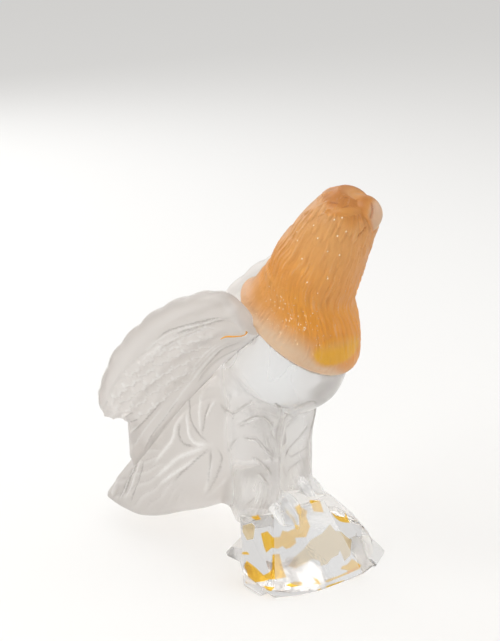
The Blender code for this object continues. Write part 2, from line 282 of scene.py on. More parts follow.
creases = (   # height, half width, spots in mm: between belly, thighs, flanks and tail; grooves get painted shade lines, ridges painted highlights
    (-1.5, 1.3, ((42, 34, 71), (43, 29, 71), (41, 23, 76), (38, 16, 79), (36, 11, 77), (34, 7, 72),
                 (33, 7, 66), (31, 6, 60))),
    (-1.5, 1.3, ((42, 27, 62), (41, 21, 61), (40, 16, 61), (39, 13, 57), (36, 10, 52), (32, 8, 46),
                 (30, 8, 42))),
    (-0.8, 1.0, ((40, 41, 46), (42, 37, 54), (43, 31, 60))),
    (-1.0, 1.0, ((41, 20, 47), (39, 16, 44), (36, 13, 40), (33, 10, 35), (31, 8, 31))),
    (-0.8, 1.0, ((39, 16, 34), (36, 13, 29), (33, 10, 23))),
    (-0.5, 1.1, ((36, 9, 66), (35, 9, 58), (32, 8, 52), (30, 7, 45))),
    (-0.4, 1.3, ((39, 27, 6), (39, 22, 10), (39, 19, 14))),
    (-0.9, 1.5, ((22, 2, 79), (24, 2, 73), (25, 3, 66), (25, 5, 55), (21, 7, 38))),
    (-0.7, 1.2, ((8, 18, 34), (9, 17, 28), (13, 12, 32), (22, 7, 36))),
    (-0.7, 1.2, ((7, 18, 14), (9, 17, 17), (14, 10, 25), (21, 7, 26))),
    (-0.6, 1.2, ((8, 21, 25), (8, 17, 35), (11, 12, 42), (19, 6, 55))),
    (-1.6, 1.2, ((37, 50, 81), (37, 45, 78), (40, 38, 77), (40, 31, 83), (37, 21, 90))),
    (-1.6, 1.2, ((40, 40, 78), (40, 38, 77), (40, 38, 73))),
    (-1.1, 1.6, ((32, 6, 90), (29, 3, 86), (25, -3, 85))),
    (-0.9, 1.4, ((29, 3, 86), (26, 3, 79), (29, 4, 68), (29, 5, 56))),
    (-0.9, 1.3, ((24, -2, 83), (23, -10, 88), (20, -18, 93), (13, -18, 88))),
    (-0.9, 1.3, ((39, 16, 141), (37, 22, 133), (41, 34, 128), (44, 48, 119), (42, 59, 107), (39, 69, 95))),
    (0.6, 1.8, ((27, 59, 100), (34, 67, 86), (38, 66, 80))),
    (1.1, 1.7, ((20, 7, 44), (21, 7, 38), (21.5, 7, 28), (22.5, 7, 18), (24, 6, 8))),
)

wingShape = {
    "rim": ((48, 16, 155), (56, 21, 169), (63, 31, 179), (68, 49, 177), (70, 77, 163), (70, 101, 143),
            (69, 122, 119), (67, 135, 93), (65, 142, 77)),
    "hem": ((41, 13, 145), (37, 26, 134), (34, 42, 120), (32, 60, 102), (31, 78, 80), (30, 94, 58),
            (31, 110, 36), (32, 124, 18), (33, 136, 5)),
    "bow": 7.0,
    "shoulderThick": 8.5,
    "tipThick": 5.5,
    "tipStart": 0.7,
    "bay": (0.17, 0.4, 0.25),   # depth, place and width of the bay between the tips
    "rimBand": (0.69, 0.75),     # where the smooth rim starts, at the shoulder and at the tip
    "rimHeight": 1.5,
    "covertLines": (             # middle lines of the rows of short feathers, spots along and across
        ((260, 585), (360, 635), (460, 655), (580, 685)),
        ((270, 440), (410, 540), (520, 610), (720, 700)),
        ((300, 350), (440, 460), (580, 550), (700, 620), (870, 730)),
        ((360, 290), (500, 400), (620, 470), (760, 540), (900, 650)),
        ((400, 220), (540, 320), (660, 390), (780, 450), (880, 520)),
        ((430, 130), (560, 230), (680, 290), (790, 340)),
    ),
    "covertPitch": 15.0,
    "covertLength": 22.0,
    "covertWidth": 4.6,
    "covertHeight": 1.7,
    "covertLean": 1.5,
    "covertWaver": 0.7,
    "strokes": (                 # height, half width, spots
        (-0.8, 1.2, ((108, 868), (170, 732), (282, 659), (390, 695), (467, 732), (537, 723))),
        (-0.5, 1.0, ((130, 730), (240, 620), (360, 630), (460, 670))),
        (0.6, 1.2, ((140, 770), (260, 640), (380, 665), (480, 705), (600, 710))),
        (0.5, 1.0, ((280, 585), (400, 610), (520, 650), (640, 680))),
        (0.5, 1.0, ((240, 550), (360, 560), (480, 600), (580, 640))),
        (-0.6, 1.2, ((93, 105), (236, 159), (317, 123), (429, 77))),
        (0.7, 1.6, ((160, 170), (250, 200), (330, 165), (450, 110), (620, 90), (800, 80))),
        (0.5, 1.0, ((200, 240), (280, 240), (360, 200), (460, 145))),
        (0.5, 1.0, ((240, 280), (320, 270), (400, 225), (480, 175))),
        (-0.6, 1.4, ((541, 86), (745, 77), (865, 32))),
        (0.7, 1.6, ((500, 30), (600, 23), (734, 23))),
        (-0.4, 1.1, ((600, 210), (750, 230), (900, 270))),
        (0.6, 1.3, ((620, 170), (780, 170), (930, 160))),
        (-0.4, 1.1, ((780, 300), (860, 330), (930, 360))),
        (0.6, 1.2, ((800, 260), (880, 280), (950, 290))),
        (-0.4, 1.1, ((800, 380), (880, 420), (950, 450))),
    ),
    "backFeathers": 6,
    "backHeight": 1.6,
    "barbHeight": 0.25,
    "scallops": 10,
    "scallopHeight": 1.7,
    "columns": 300,
    "rows": 120,
}


def coverts(grid, along, across):  # leaf-shaped feathers in rows, with painted shade on their undersides and painted highlights on their edges
    s = wingShape
    height, line, light = blankShares(grid.shape[:2])
    for number, spots in enumerate(s["covertLines"]):
        away, run, length = nearPath(grid, pathOn(grid, thousandths(spots, 0.5)))
        middle = curveAt(thousandths(spots), evenly(60))
        upper = np.sign(across - np.interp(along, middle[:, 0], middle[:, 1]))
        shift = (0.5 * (number % 2) + 0.17 * math.sin(number * 2.6)) * s["covertPitch"]
        ends = held(run / 3) * held((length - run) / 3 + 0.3)
        for back in (0, 1):
            leaf = np.floor((run + shift) / s["covertPitch"]) - back
            odd = np.sin(leaf * 5.1 + number * 3.3)
            share = (run + shift - leaf * s["covertPitch"]) / (s["covertLength"] * (1 + 0.12 * odd))
            inside = (share < 1) * ends
            share = np.minimum(share, 1)
            width = s["covertWidth"] * (1 - share ** 3) ** 0.7 * (0.5 + 0.5 * np.minimum(1, share * 2.5))
            lean = s["covertLean"] * (share - 0.5) + 0.5 * odd
            waver = np.sin(run * 0.75 + number * 2.3 + odd) + 0.5 * np.sin(run * 1.9 + number)
            side = (upper * away + lean + s["covertWaver"] * waver) / np.maximum(width, 0.05)
            body = held(1 - side ** 2) ** 0.5 * inside
            height = np.maximum(height, body * (0.3 + 0.7 * share))
            late = softStep(0.1, 0.5, share)
            # painted highlight along one edge and the tip of each leaf
            edge = dent(side, -0.62, 0.24) * late + dent(share, 0.9, 0.07) * (side > -0.8)
            light = np.maximum(light, np.minimum(1, edge) * inside * (side ** 2 < 1) * (0.75 + 0.25 * odd))
            # painted shade just past that edge and at the tip
            line = np.maximum(line, inside * (dent(side, -1.05, 0.2) * late + dent(share, 1.0, 0.05) * body))
    return height, line, light * (1 - 0.6 * line)


def wingForm():
    s = wingShape
    u = evenly(s["columns"])[:, None]
    w = ((np.arange(s["rows"]) + 0.5) / s["rows"])[None, :]
    depth, middle, width = s["bay"]
    past = np.maximum(0, u - s["tipStart"]) / (1 - s["tipStart"])
    reach = u * (1 - (depth * dent(w, middle, width) + 0.02 * np.abs(np.sin(7 * math.pi * w))) * past)
    blade = curveAt(s["hem"], reach) * (1 - w[..., None]) + curveAt(s["rim"], reach) * w[..., None]
    edge = np.sqrt(1 - np.abs(2 * w - 1) ** 4)
    ends = np.minimum(1, (1 - u) * 8 + 0.35) * np.minimum(1, u * 10 + 0.5)
    thick = (s["shoulderThick"] + (s["tipThick"] - s["shoulderThick"]) * u) * edge * ends
    thick = thick * (1.35 - 0.5 * np.sin(math.pi * w))
    bow = s["bow"] * np.sin(math.pi * w)
    outer = blade.copy()
    outer[..., 0] += bow + thick
    inner = blade.copy()
    inner[..., 0] += bow - thick * (1.9 - 0.9 * w)
    grid = np.concatenate([outer, inner[:, ::-1]], axis=1)

    fade = np.minimum(1, (1 - u) * 14) * edge
    bandStart = s["rimBand"][0] + (s["rimBand"][1] - s["rimBand"][0]) * softStep(0.45, 0.8, u)
    rimBand = softStep(-0.012, 0.018, w - bandStart) * softStep(0.03, 0.15, u)
    wholeWidth = np.concatenate([w, 0 * w - 1], axis=1)
    drawn = coverts(grid, u, wholeWidth)
    leaves, leafLine, leafLight = (part[:, :s["rows"]] * (1 - rimBand) for part in drawn)
    strokes, line, light = (part[:, :s["rows"]] for part in carve(grid, s["strokes"], 0.5))
    barbs = combed(u + 0 * w, w + 0.15 * u, 10, 90, 3) - 0.5
    rise = s["rimHeight"] * rimBand + s["covertHeight"] * leaves + strokes
    rise += s["barbHeight"] * barbs * (1 - rimBand)
    line = np.maximum(0.8 * line, 0.25 * leafLine)
    light = np.maximum(light, leafLight)
    backRise = s["backHeight"] * hump(w * s["backFeathers"]) ** 0.7 * softStep(0.0, 0.3, u)
    waves = (np.abs(np.sin(s["scallops"] * math.pi * u)) - 0.85) * softStep(0.2, 0.35, u)
    rim = s["scallopHeight"] * dent(w, 1.0, 0.05) * waves
    height = np.concatenate([rise * fade + rim, (backRise * fade + rim)[:, ::-1]], axis=1)
    line, light = (np.concatenate([part * fade, 0 * part], axis=1) for part in (line, light))
    return makeForm(grid, height=height, frost=1.0, line=line, light=light)


tailShape = {
    "sections": ((22, 94, 24, 30), (42, 106, 6, 39), (62, 105, -5, 43.5), (84, 87, -14, 44),
                 (106, 61, -24, 42), (126, 35, -30, 39), (142, 13, -31, 35), (154, -4, -30, 32),
                 (164, -18, -27, 30)),
    "profile": ((0, 1.0), (0.55, 0.95), (0.9, 0.72), (1.0, 0.35), (0.96, 0.03), (0.72, 0.02), (0.36, 0.2),
                (0, 0.27)),
    "outerSide": 0.55,
    "ends": (22, 164),
    "foldRoot": (56, 49),
    "foldAngle": 0.105,
    "foldStart": (42, 60),   # distances from the root between which the fringe of folds begins
    "height": 0.9,
    "feathers": 12,
    "backHeight": 1.6,
    "barbHeight": 0.4,
    "strokes": (             # height, half width, spots along and round one side
        (0.9, 3.2, ((209, 381), (264, 386), (372, 386), (448, 397), (519, 407))),
        (-0.7, 1.6, ((213, 392), (285, 413), (364, 439), (402, 455))),
        (0.7, 2.6, ((243, 402), (322, 418), (406, 429), (485, 444))),
        (0.6, 2.2, ((205, 418), (218, 471), (247, 529))),
        (-0.6, 1.4, ((209, 390), (212, 440), (225, 500))),
        (-0.7, 1.4, ((180, 392), (155, 423), (172, 466), (209, 503), (247, 534))),
        (0.9, 2.0, ((126, 487), (176, 513), (243, 540))),
        (1.0, 3.0, ((351, 249), (397, 280), (410, 317), (452, 333), (519, 354))),
        (0.9, 2.6, ((351, 249), (331, 307), (314, 344), (276, 370), (209, 381))),
        (-0.6, 1.8, ((377, 275), (381, 312), (347, 354), (285, 376))),
        (-0.7, 1.5, ((347, 180), (339, 243), (314, 302), (268, 349), (218, 376))),
        (0.7, 2.2, ((238, 175), (280, 222), (276, 280), (264, 344))),
        (-1.1, 1.2, ((230, 259), (247, 302), (255, 349))),
        (0.8, 1.4, ((205, 254), (243, 312))),
        (1.4, 3.4, ((840, 300), (880, 360), (935, 430))),
        (-1.3, 1.3, ((653, 275), (715, 328), (833, 487))),
        (1.2, 2.4, ((640, 270), (705, 340), (815, 480))),
        (-1.0, 1.1, ((623, 265), (695, 349), (795, 476))),
        (0.8, 1.8, ((605, 280), (650, 350), (700, 420), (750, 480))),
        (-0.9, 1.1, ((586, 296), (611, 360), (653, 423), (699, 497))),
    ),
    "columns": 260,
    "sides": 200,
}


def tailForm():
    s = tailShape
    rows = curveAt(s["sections"], evenly(s["columns"]))
    profile = curveAt(s["profile"], evenly(s["sides"]))
    y, top, bottom, half = (rows[:, k, None] for k in range(4))
    x = half * profile[None, :, 0]
    z = bottom + (top - bottom) * profile[None, :, 1]
    right = np.stack([x, np.broadcast_to(y, x.shape), z], -1)
    grid = np.concatenate([right, (right * np.array((-1, 1, 1)))[:, -2:0:-1]], axis=1)
    around = evenly(s["sides"])[None, :]
    drawn = carve(grid, s["strokes"], s["sides"] / grid.shape[1])
    carved, line, light = (part[:, :s["sides"]] for part in drawn)
    awayY = y - s["foldRoot"][0]
    awayZ = z - s["foldRoot"][1]
    away = np.hypot(awayY, awayZ)
    fringe = softStep(*s["foldStart"], away)
    side = softStep(0.22, 0.32, around)
    turn = np.arctan2(awayZ, awayY) / s["foldAngle"] + 0.12 * np.sin(away / 5)
    folds = side * ((turn % 1.0) ** 0.8 * np.minimum(1, (1 - turn % 1.0) * 6)) * fringe
    start, end = s["ends"]
    across = around * s["feathers"]
    back = (1 - side) * softStep(0.15, 0.35, (y - start) / (end - start))
    feathers = back * (hump(across) ** 0.6 + 0.2 * dent(across % 1.0, 0.5, 0.08))
    outside = held((s["outerSide"] - around) * 12)
    barbs = combed(np.broadcast_to(around, away.shape) * 3 % 1.0, turn / 12, 6, 70, 5) - 0.5
    fringe = side * fringe
    height = s["height"] * folds + s["backHeight"] * feathers + carved + s["barbHeight"] * barbs * fringe
    height = height * outside * np.minimum(1, (end - y) / 8)
    # painted shade lines where each fold drops, painted highlights near its ridge
    line = np.maximum(0.8 * line, 0.3 * fringe * dent(turn % 1.0, 1.0, 0.1)) * outside
    light = np.maximum(light, 0.3 * fringe * dent(turn % 1.0, 0.72, 0.16)) * outside
    height, line, light = (np.concatenate([part, part[:, -2:0:-1]], axis=1) for part in (height, line, light))
    # painted shade, darker towards the tail's end
    shade = 0.5 + 0.5 * softStep(55, 115, grid[..., 1])
    return makeForm(grid, height=height, frost=0.9, shade=shade, line=line, light=light)


trunkShape = {
    "stations": ((92, 34, 20, 14, 52), (74, 52, 28, 22, 50), (52, 72, 33, 30, 46), (33, 92, 36.5, 36, 42),
                 (15, 113, 39, 44.5, 37), (6.5, 132, 40, 45.5, 34.5), (5.5, 141, 39, 45.5, 34.5)),
    "rings": 90,
    "sides": 150,
}


def trunkForm():
    grid = ovalGrid([(0, *row) for row in trunkShape["stations"]], trunkShape["rings"], trunkShape["sides"])
    back = softStep(18, 34, grid[..., 1] + 0.62 * (grid[..., 2] - 113))
    # painted shade on the front of the belly
    front = softStep(-36, -28, -np.abs(grid[..., 0])) * softStep(-6, 8, -grid[..., 1])
    return makeForm(grid, frost=0.55 * back, shade=0.6 * front)


legShape = {
    "stations": ((9, 24, 112, 9, 12), (17, 26, 92, 17, 23), (23, 28.5, 66, 19, 24.5),
                 (23.5, 28, 42, 17.5, 20.5), (24, 27.5, 24, 16, 20), (23.5, 29, 7, 15.5, 22),
                 (23, 27.5, -13, 12.5, 17)),
    "strands": 0.5,
    "rings": 220,
    "sides": 200,
}


def legForm():
    s = legShape
    grid = ovalGrid(s["stations"], s["rings"], s["sides"])
    along, around = gridShares(grid)
    streaks = combed(along, around + 0.25 * along, 9, 90, 11) - 0.5
    low = softStep(0.42, 0.8, along)
    patchy = softStep(0.45, 0.7, combed(along, around, 8, 7, 12))
    # painted shade over the whole leg, painted shade lines in the grooves of its streaks and painted
    # highlights on their ridges
    return makeForm(grid, height=s["strands"] * streaks * low * (0.4 + 0.6 * patchy),
                    frost=0.3 + 0.25 * low, shade=0.3,
                    line=0.5 * held(-2.4 * streaks - 0.2) * low * patchy,
                    light=0.8 * held(2.4 * streaks - 0.3) * low)


toeShape = {
    "toes": (
        ((20, 20, 7, 6), (15, 12, 7, 5), (12, 4, 4, 4.2), (11, -2, -2, 3.2), (11, -4, -9, 1.2)),
        ((23, 18, 7.5, 6), (22, 10, 7, 5.3), (21, 1, 3, 4.3), (21, -5.5, -4, 3.3), (21, -8.5, -13, 1.2)),
        ((25, 20, 7, 5.5), (26.5, 13, 5, 4.5), (27.5, 7, 1, 3.8), (28.5, 2, -5, 3), (28.5, 0, -12, 1.2)),
    ),
    "rings": 60,
    "sides": 36,
}


def roundStations(stations):  # half depth is half width
    return [(*row, row[3]) for row in stations]


def toeForm(stations):
    grid = ovalGrid(roundStations(stations), toeShape["rings"], toeShape["sides"])
    along, around = gridShares(grid)
    rings = 0.35 * hump(along * 9) * (1 - softStep(0.55, 0.7, along))
    return makeForm(grid, height=rings, frost=0.05)


neckShape = {
    "stations": ((7.5, 138, 40, 46, 34.5), (5.5, 141, 43.5, 50.5, 34.5), (-0.5, 146, 42.5, 47.5, 33.8),
                 (-4.6, 162, 37.2, 41.2, 31), (-5.4, 176, 35.8, 33.5, 28), (-10.4, 190, 32.5, 32.2, 25),
                 (-17.6, 204, 30.5, 29.5, 23), (-25, 218, 28, 26.5, 22), (-32.5, 230, 25, 23, 22),
                 (-35.5, 239.5, 20.5, 18, 22), (-37, 246.5, 11.5, 10, 22)),
    "beak": ((-40, 235, 12, 11), (-48, 236, 10.5, 9.5), (-53, 232, 8.5, 8), (-54, 226.5, 5, 5),
             (-51.5, 221, 2, 2.5)),
    "brow": ((19, -24, 233, 3), (19.5, -33, 235, 4.2), (16, -42, 236, 4.2), (9, -47, 236, 3)),
    "locks": 34,
    "lockRows": 7,
    "twist": 0.1,
    "height": 1.3,
    "napeSteps": 4.6,    # lapping rows of locks down the nape
    "napeRise": 1.5,
    "napeFill": 2.8,
    "throatRise": 0.7,
    "strokes": (         # height, half width, spots along and round
        (-1.3, 1.2, ((895, 435), (918, 462), (934, 500))),
        (0.8, 0.8, ((822, 388), (863, 408), (909, 423))),
        (0.8, 0.8, ((800, 440), (849, 462), (886, 477))),
        (-1.3, 1.3, ((909, 531), (941, 565), (954, 600))),
        (0.8, 1.0, ((890, 540), (915, 575), (930, 610))),
        (-0.9, 1.0, ((985, 500), (998, 545))),
        (-0.9, 1.2, ((765, 652), (800, 668), (840, 700))),
    ),
    "beakStrokes": (
        (-1.2, 1.6, ((300, 310), (373, 340), (475, 400), (610, 500))),
    ),
    "glowMiddle": (-14, -38, 134),   # painted pool of warm light low on the chest
    "glowSize": (27, 16, 11),
    "rings": 260,
    "sides": 300,
    "seatGap": 0.3,
}


def neckStations(grow=0.0):
    return [(0, y, z, wide + grow, deep + grow, lean) for y, z, wide, deep, lean in neckShape["stations"]]


def bothSides(strokes):  # the strokes of an oval form and the same ones mirrored to its other side
    return [*strokes, *[(rise, wide, [(a, 1500 - b) for a, b in spots]) for rise, wide, spots in strokes]]


def neckTints(grid, along, around):
    s = neckShape
    cloud = combed(along, around, 6, 11, 31) - 0.5
    # painted pool of warm light low on the chest
    away = (grid - np.array(s["glowMiddle"])) / np.array(s["glowSize"])
    reach = np.linalg.norm(away, axis=-1) + 0.3 * cloud
    inside = 1 - softStep(0.8, 1.15, reach)
    glow = inside * (0.25 + 0.75 * softStep(-0.75, 0.15, -away[..., 2]))
    rim = 1 - softStep(0.13, 0.25, along + 0.05 * cloud - 0.05 * dent(around, 0.55, 0.09))
    cream = rim * (0.35 + 0.65 * softStep(0.38, 0.45, around) * (1 - softStep(0.68, 0.74, around)))
    deep = dent(along, 0.36, 0.2) * (0.55 + 0.9 * held(cloud + 0.35))
    # deeper orange painted round the top of the pool of light
    above = dent(reach, 0.95, 0.35) * softStep(-0.3, 0.4, away[..., 2]) * (1 - softStep(1.0, 1.6, reach))
    burnt = softStep(0.8, 0.95, along + 0.16 * (combed(along, around, 12, 26, 33) - 0.5))
    deep = np.maximum(np.maximum(deep * (1 - inside), above), 0.6 * burnt)
    return {"cream": cream * (1 - inside), "glow": glow, "deep": held(deep),
            "burnt": np.maximum(burnt, 0.12 * above)}


def neckForms():
    s = neckShape
    grid = ovalGrid(neckStations(), s["rings"], s["sides"])
    along, around = gridShares(grid)
    wound = (around + s["twist"] * along) % 1.0
    locks = leafHeights(1 - along, wound, s["locks"], s["lockRows"], 1.4)
    wave = wound + 0.006 * np.sin(along * 17) + 0.003 * np.sin(along * 43 + around * 12)
    streaks = combed(along, wave, 9, 190, 21) + 0.8 * combed(along, wave, 22, 280, 22) - 0.9
    calm = softStep(0.02, 0.25, along)
    head = softStep(0.55, 0.8, along)
    carved, line, light = carve(grid, bothSides(s["strokes"]))
    combing = 0.8 * streaks * softStep(0.1, 0.3, along)
    height = s["height"] * (locks * calm * (0.25 + 0.6 * head) + combing) + carved
    nape = dent(around, 0.33, 0.09) + dent(around, 0.17, 0.09)
    steps = (along * s["napeSteps"] + 0.15) % 1.0
    lapped = steps ** 2 * np.minimum(1, (1 - steps) * 12) * softStep(0.28, 0.4, along)
    height += nape * (s["napeRise"] * lapped + s["napeFill"] * dent(along, 0.235, 0.06))
    throat = dent(around, 0.83, 0.05) * dent(along, 0.55, 0.25)
    height += s["throatRise"] * np.abs(np.sin(along * 90)) * throat
    ragged = along + 0.07 * (combed(along, around, 12, 26, 33) - 0.5)
    height = np.minimum(height, 1.2 - 1.4 * softStep(0.84, 0.97, ragged))
    # painted shade lines in the grooves of the combing and between the locks of the head, painted highlights
    # on the ridges
    line = np.maximum(line, 0.22 * held(-streaks * 1.6) * calm)
    light = np.maximum(light, 0.7 * held(streaks * 2 - 0.75) * calm)
    line = np.maximum(line, 0.35 * head * (1 - locks) ** 2)
    tints = neckTints(grid, along, around)
    neck = makeForm(grid, height=height, frost=1.0, line=line * (1 - 0.8 * tints["glow"]),
                    light=light * (1 - 0.5 * tints["glow"]), **tints)
    brow = browForm()
    return [neck, beakForm(), brow, otherSide(brow)]


def beakForm():  # pale at its tip, burnt where it leaves the head
    grid = ovalGrid([(0, *row) for row in neckShape["beak"]], 80, 60)
    carved, line, light = carve(grid, neckShape["beakStrokes"])
    forward = -grid[..., 1]
    return makeForm(grid, height=carved - 0.4, line=line, light=light, glow=0.0, deep=0.3,
                    cream=0.8 * softStep(53, 57, forward), burnt=dent(forward, 49, 4))


def browForm():
    grid = ovalGrid(roundStations(neckShape["brow"]), 40, 30)
    rust = combed(*gridShares(grid), 7, 9, 34)
    return makeForm(grid, height=0.5 * (rust - 0.7), frost=1.0, cream=0.0, glow=0.0, deep=0.5,
                    burnt=0.25 + 0.6 * rust)


rockShape = {
    "width": 131,
    "length": 114,
    "height": 48,
    "corners": (   # 128ths of the width, 112ths of the length, 48ths of the height
        (-66, -16, 1), (-52, -28, 0), (-38.5, -37.5, 0), (-17, -46.5, 0), (0.5, -52.5, 0), (20, -54, 1),
        (40, -38, 0), (55, -18, 0), (60, 6, 0), (49, 38, 0), (16, 54, 0), (-22, 38, 0), (-41, 27, 0),
        (-53, 16, 0), (-62, -12, 14), (40, -39, 8), (35, -37, 18), (28, -27, 34), (53, 5, 19), (27, 48, 22),
        (-22, 36, 22), (-37, 30, 20), (-48, 17, 22), (-31, 8, 47.5), (-5, 14, 49), (11, -10, 48.5),
        (23, -11, 47), (30, 6, 48), (32, 36, 42), (6, 44, 43), (-29, 35, 43), (-38, 31, 43),
    ),
    "rounding": 1.6,
    "shelf": (
        (-67, -5, 0.3), (-61, 13, 0.25), (-45, 25, 0.7), (-31.5, 36.5, 1.0), (-28, 50, 0.7), (-10, 50, 1.0),
        (12, 56, 0.9), (45, 46, 0.8), (62, 18, 1.0), (56, -16, 0.8), (46, -35, 0.85), (37, -51, 0.8),
        (17, -55, 0.5), (4, -30, 1.0),
    ),
    "shelfHeight": 11,
    "shelfRings": ((0.985, 0.0), (1.0, 0.35), (0.93, 1.0)),   # share of the outline, share of the height
    "reach": 60,      # no face of the rock is higher
    "near": 0.03,     # a face this close to the rock or the shelf is theirs
}


def rockPlace(x, y, z):
    s = rockShape
    return Vector((x * s["width"] / 128, y * s["length"] / 112, z * s["height"] / 48)) * mm


# Amber thread sealed in the clear crystal, painted reflections of the amber neck sealed in the rock, and
# bubbles and painted glints on the amber

threadShape = {
    "spots": ((235, 332), (190, 345), (120, 310), (45, 300), (12, 420), (12, 520)),
    "radii": (0.3, 1.0, 0.9, 0.65, 0.75, 0.5),
    "sunk": 0.55,   # share of the radius
    "sides": 10,
}

# painted reflections of the amber neck in the rock's front faces
frontVeils = {
    "middle": (-21.4, -11.7, 26.9),   # from the underside of the rock, just behind its front face
    "normal": (-0.302, -0.654, 0.694),
    "amber": (                        # across the face, up the face
        ((0, 32), (8, 26), (14, 20), (11, 16), (11, 8), (4, 1), (-5, 3), (-6, -1), (-12, -3), (-16, -3),
         (-18, 0), (-23, -1), (-26, 1), (-32, -1), (-32, 4), (-30, 14), (-24, 14), (-22, 8), (-17, 7),
         (-13, 11), (-9, 9), (-2, 10), (2, 15), (1, 23)),
        ((-28, -4), (-23, -5), (-24, -10), (-25, -17), (-25, -23), (-33, -22), (-37, -21), (-32, -12)),
        ((20, 27), (28, 25), (27, 15), (19, 18)),
        ((34, 14), (37, 10), (44, 7), (46, 11), (46, 2), (42, 3), (38, 5), (35, 9)),
        ((34, -25), (40, -32), (25, -35), (26, -32), (21, -30), (23, -28), (28, -28)),
        ((-28, -28), (-20, -28), (-14, -30), (-16, -32), (-24, -31)),
        ((-4, -30), (-1, -31), (0, -36), (-8, -33), (-3, -34)),
        ((4, -35), (7, -34), (16, -34), (39, -32), (37, -34), (23, -35), (6, -36)),
    ),
    "cream": (
        ((-20, -16), (-13, -11), (-2, -7), (7, -2), (18, 0), (28, 5), (30, -1), (35, -3), (38, -8), (41, -11),
         (34, -22), (27, -25), (27, -16), (24, -19), (17, -20), (12, -23), (6, -23), (7, -19), (1, -16),
         (-7, -18), (-15, -19)),
    ),
}

# painted reflections of the amber neck in the rock's side
sideVeils = {
    "middle": (-52.4, 8.5, 14.5),
    "normal": (-0.93, 0.33, 0.16),
    "amber": (
        ((-11, -1), (0, -2), (10, -4), (15, 0), (17, 3), (19, -3), (12, -8), (2, -13), (-6, -13), (-10, -8),
         (-14, -7)),
        ((11, -12), (23, -8), (21, -12), (17, -13)),
    ),
    "cream": (),
}

innerVeils = {   # painted reflections of the amber neck, deeper behind the same side
    "middle": (-46.0, 4.6, 13.8),
    "normal": (-0.93, 0.33, 0.16),
    "amber": (
        ((-23, 30), (-16, 33), (-12, 31), (-17, 28), (-22, 28)),
        ((-29, -3), (-18, 2), (-15, 1), (-22, -2)),
    ),
    "cream": (
        ((-27, 20), (-21, 24), (-17, 23), (-16, 13), (-20, 11), (-26, 15)),
    ),
}

speckShape = {
    # bigger pale beads, painted glints where the amber sparkles
    "bright": ((858, 554), (826, 519), (790, 592), (753, 569), (703, 504), (635, 431),
               (667, 565), (667, 615), (584, 492), (550, 610), (500, 550), (740, 450)),
    "clusterMiddle": (0.3, 0.545),
    "clusterSpread": (0.055, 0.055),
    "clusterCount": 90,
    "strayCount": 50,
    "size": 0.5,
    "brightSize": 1.3,
    "sunk": 0.35,   # share of the size
}


# Meshes from forms

castings = {
    "bodyGrid": 0.75,
    "bodyFaces": 190000,
    "neckGrid": 0.65,
    "neckFaces": 150000,
    "smoothing": 9,
    "coreRadius": 5.0,     # how far the inner corners are rounded out
    "coreGrid": 1.4,
    "coreSmoothing": 6,
    "fade": (1.0, 2.5),    # carving ends between these distances from its form
    "creaseRounds": 6,           # how often the path of a crease is smoothed
    "creaseEnds": (0.12, 0.1),   # share of its length that fades at each end, and how far
    "creaseNarrow": 0.55,        # half width of its painted shade line, as a share of its own
    "frostRounds": 20,
    "sharpAngle": 50,
}


def applied(thing):  # the object with its modifiers turned into mesh
    graph = bpy.context.evaluated_depsgraph_get()
    mesh = bpy.data.meshes.new_from_object(thing.evaluated_get(graph))
    thing.modifiers.clear()
    old = thing.data
    thing.data = mesh
    bpy.data.meshes.remove(old)
    return thing


def meshFromBmesh(name, bm):
    mesh = bpy.data.meshes.new(name)
    bm.to_mesh(mesh)
    bm.free()
    return mesh


def meshFromForms(name, forms):
    points, faces, start = [], [], 0
    for form in forms:
        rings, sides = form["grid"].shape[:2]
        flat = form["grid"].reshape(-1, 3)
        ids = start + np.arange(rings * sides).reshape(rings, sides)
        nextIds = np.roll(ids, -1, axis=1)
        quads = np.stack([ids[:-1], nextIds[:-1], nextIds[1:], ids[1:]], -1).reshape(-1, 4).tolist()
        caps = [ids[0][::-1].tolist(), ids[-1].tolist()]
        a, b, c, d = (flat[np.array(quads)[:, k] - start] for k in range(4))
        volume = np.einsum("ij,ij->", a, np.cross(b, c)) + np.einsum("ij,ij->", a, np.cross(c, d))
        if volume < 0:
            quads = [face[::-1] for face in quads]
            caps = [face[::-1] for face in caps]
        points.append(flat)
        faces += quads + caps
        start += rings * sides
    mesh = bpy.data.meshes.new(name)
    mesh.from_pydata(ownPlace(np.concatenate(points)).tolist(), [], faces)
    return mesh


def nearestShares(forms, places, keys):  # shares of the forms' nearest points, carving faded away from them
    points = ownPlace(np.concatenate([form["grid"].reshape(-1, 3) for form in forms]))
    tree = kdtree.KDTree(len(points))
    for i, point in enumerate(points):
        tree.insert(point, i)
    tree.balance()
    found = [tree.find(place)[1:] for place in places]
    which = np.array([index for index, _ in found])
    close = 1 - softStep(*castings["fade"], np.array([away for _, away in found]) / mm)
    shares = {key: np.concatenate([form[key].reshape(-1) for form in forms])[which] for key in keys}
    return [share * close if key in ("height", "line", "light") else share for key, share in shares.items()]


def meshPoints(mesh):
    values = np.empty(len(mesh.vertices) * 3, np.float32)
    mesh.vertices.foreach_get("co", values)
    return values.reshape(-1, 3).astype(float)


def addVoxels(thing, grid, smoothing):
    remesh = thing.modifiers.new("voxels", "REMESH")
    remesh.mode = "VOXEL"
    remesh.voxel_size = grid
    soften = thing.modifiers.new("soften", "SMOOTH")
    soften.factor = 0.5
    soften.iterations = smoothing


def filledCore(forms):  # the forms as one skin whose inner corners are rounded out
    core = linked("core", meshFromForms("core", forms))
    for way in (1, -1):
        push = core.modifiers.new("push", "DISPLACE")
        push.strength = way * castings["coreRadius"] * mm
        push.mid_level = 0
        addVoxels(core, castings["coreGrid"] * mm, castings["coreSmoothing"])
    return applied(core)


